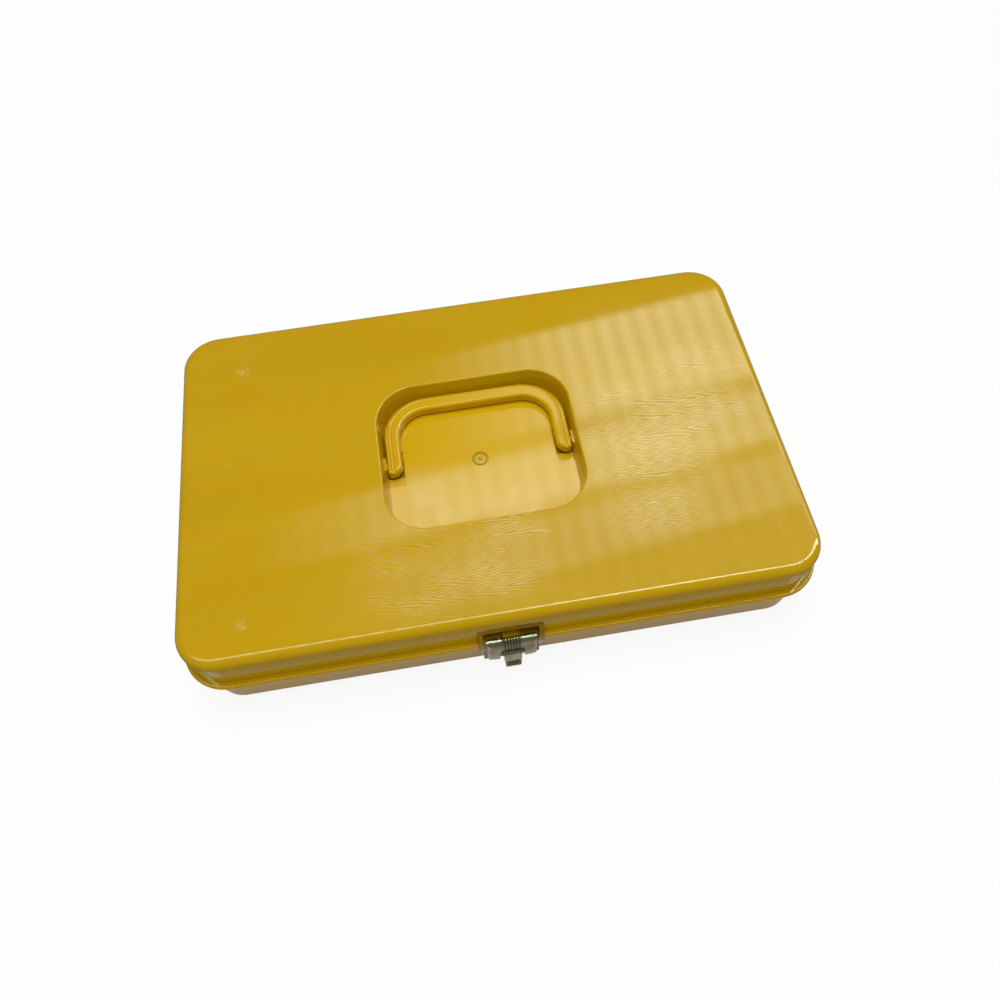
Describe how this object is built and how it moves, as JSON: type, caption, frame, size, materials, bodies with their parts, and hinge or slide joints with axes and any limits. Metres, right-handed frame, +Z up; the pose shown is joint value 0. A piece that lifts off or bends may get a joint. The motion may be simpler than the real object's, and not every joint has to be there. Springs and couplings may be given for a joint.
{
  "type": "sewing caddy",
  "caption": "Flat moulded sewing box with a hinged lid, a fold-down handle sunk in the lid, a metal draw latch, lift-out trays and spool pegs.",
  "frame": {"origin": "under the middle of the box, on the surface it stands on", "axes": "+X to the right along the front, +Y from the latch to the hinges, +Z up"},
  "size_m": [0.3238, 0.2146, 0.0577],
  "materials": {
    "gold_plastic": "satin gloss",
    "cream_plastic": "satin gloss",
    "nickel_plate": "bright nickel plate",
    "pin_steel": "plain"
  },
  "bodies": {
    "base": {"base_shell": "gold_plastic", "hinge_pin_left": "pin_steel", "hinge_pin_right": "pin_steel", "latch_plate": "nickel_plate", "latch_rivets": "nickel_plate", "latch_lever_pin": "pin_steel", "notions_tray_left": "cream_plastic", "notions_tray_right": "cream_plastic", "spool_rack": "cream_plastic", "spool_pegs": "cream_plastic"},
    "lid": {"lid_shell": "gold_plastic"},
    "handle": {"carry_handle": "gold_plastic"},
    "lever": {"latch_lever": "nickel_plate", "latch_claw_pin": "pin_steel"},
    "claw": {"latch_claw": "nickel_plate"}
  },
  "joints": [
    {"name": "lid_hinge", "type": "hinge", "parent": "base", "child": "lid", "pos_m": [0, 0.1036, 0.0345], "axis": [-1, 0, 0], "range_deg": [0, 105]},
    {"name": "handle_pivot", "type": "hinge", "parent": "lid", "child": "handle", "pos_m": [0, 0, 0.0473], "axis": [1, 0, 0], "range_deg": [0, 180]},
    {"name": "latch_lever_pivot", "type": "hinge", "parent": "base", "child": "lever", "pos_m": [0, -0.1046, 0.0236], "axis": [-1, 0, 0], "range_deg": [0, 95]},
    {"name": "latch_claw_pivot", "type": "hinge", "parent": "lever", "child": "claw", "pos_m": [0, -0.1032, 0.0182], "axis": [1, 0, 0], "range_deg": [0, 114]}
  ],
  "couplings": [
    {"joint": "latch_claw_pivot", "follows": "latch_lever_pivot", "ratio": 1.2}
  ]
}
